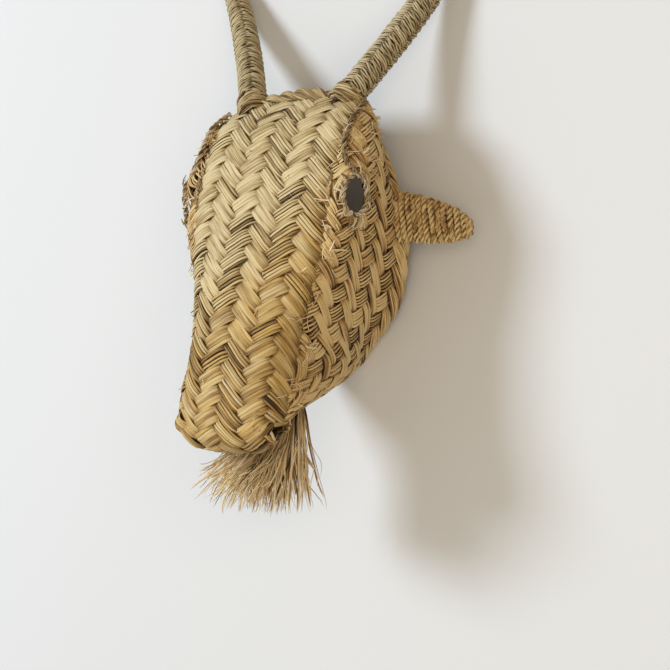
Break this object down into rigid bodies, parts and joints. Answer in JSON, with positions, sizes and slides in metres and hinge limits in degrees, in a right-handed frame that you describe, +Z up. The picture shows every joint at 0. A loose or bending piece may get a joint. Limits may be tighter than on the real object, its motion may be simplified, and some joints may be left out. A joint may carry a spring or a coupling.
{
  "type": "plaited straw goat head",
  "caption": "Hollow plaited straw goat head for a wall, with horns, ears, a fibre beard and a hanging loop.",
  "frame": {"origin": "the point on the wall where the nail carries the hanging loop", "axes": "the wall is the plane y = 0, the head stands out towards -Y, +Z up towards the horn tips, +X towards the animal's left"},
  "size_m": [0.23, 0.1367, 0.3785],
  "materials": {
    "pale_straw": "plaited dry grass, matt with a slight shine along the blades",
    "golden_straw": "plaited dry grass, golden brown, matt",
    "grey_straw": "weathered greyish plaited dry grass, matt",
    "loose_fibre": "loose frayed dry fibre",
    "cane": "split cane and twisted cord, unvarnished"
  },
  "bodies": {
    "head": {"rear_hoop": "cane", "face_band": "pale_straw", "cheek_band_left": "golden_straw", "cheek_band_right": "golden_straw", "crown_cord": "pale_straw", "horn_core_left": "cane", "horn_sleeve_left": "grey_straw", "horn_lashing_left": "golden_straw", "eye_rim_left": "pale_straw", "brow_seam_left": "pale_straw", "ear_left": "golden_straw", "horn_core_right": "cane", "horn_sleeve_right": "grey_straw", "horn_lashing_right": "golden_straw", "eye_rim_right": "pale_straw", "brow_seam_right": "pale_straw", "ear_right": "golden_straw"},
    "beard": {"beard": "loose_fibre", "beard_binding": "golden_straw"},
    "hanger": {"hanging_loop": "cane"}
  },
  "joints": [
    {"name": "beard_swing", "type": "hinge", "parent": "head", "child": "beard", "pos_m": [0, -0.057, -0.1935], "axis": [1, 0, 0], "range_deg": [-6, 12]},
    {"name": "hanger_tilt", "type": "hinge", "parent": "head", "child": "hanger", "pos_m": [0, -0.0274, -0.0335], "axis": [1, 0, 0], "range_deg": [0, 30]}
  ]
}
